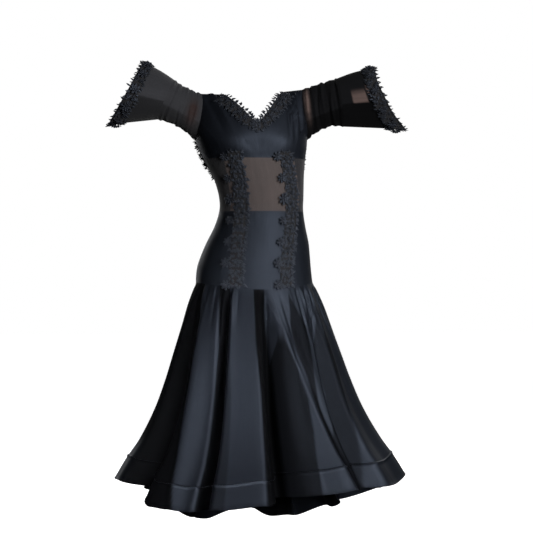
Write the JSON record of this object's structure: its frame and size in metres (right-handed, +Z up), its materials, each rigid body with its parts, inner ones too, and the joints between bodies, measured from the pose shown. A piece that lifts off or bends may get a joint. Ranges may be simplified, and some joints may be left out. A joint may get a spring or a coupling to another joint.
{
  "type": "ballroom dress",
  "caption": "Black ballroom dress with a V neck, deep open back, ruched sheer sleeves with flared cuffs, a sheer midriff, leafy lace trim and a flared skirt with a stiff hem band",
  "frame": {"origin": "on the wearer's body axis at the natural waist, where the wearer's torso holds the dress", "axes": "+Z up, the front of the dress faces -Y, +X to the wearer's left"},
  "size_m": [0.8664, 0.6961, 1.3425],
  "materials": {
    "satin": "blue-black stretch satin with a soft sheen",
    "sheer_brown": "sheer black mesh with a brown cast",
    "sheer_black": "sheer black mesh",
    "lace": "thick leafy guipure lace, matt thread"
  },
  "bodies": {
    "root": {"bodice_front": "satin", "bodice_side_right": "satin", "bodice_side_left": "satin", "bodice_back_right": "satin", "bodice_back_left": "satin", "midriff_front": "sheer_brown", "midriff_side_right": "sheer_black", "midriff_side_left": "sheer_black", "midriff_back": "sheer_black", "yoke_front": "satin", "yoke_side_right": "satin", "yoke_side_left": "satin", "yoke_back": "satin", "skirt_front_left": "satin", "hem_band_front_left": "satin", "skirt_front": "satin", "hem_band_front": "satin", "skirt_front_right": "satin", "hem_band_front_right": "satin", "skirt_back_right": "satin", "hem_band_back_right": "satin", "skirt_back": "satin", "hem_band_back": "satin", "skirt_back_left": "satin", "hem_band_back_left": "satin", "sleeve_left_front": "sheer_black", "sleeve_left_back": "sheer_black", "cuff_left_front": "sheer_black", "cuff_left_back": "sheer_black", "sleeve_right_front": "sheer_black", "sleeve_right_back": "sheer_black", "cuff_right_front": "sheer_black", "cuff_right_back": "sheer_black", "lace_neckline_right": "lace", "lace_neckline_left": "lace", "lace_back_right": "lace", "lace_back_left": "lace", "lace_strip_left": "lace", "lace_strip_right": "lace", "lace_cuff_left": "lace", "lace_cuff_right": "lace"}
  },
  "joints": []
}
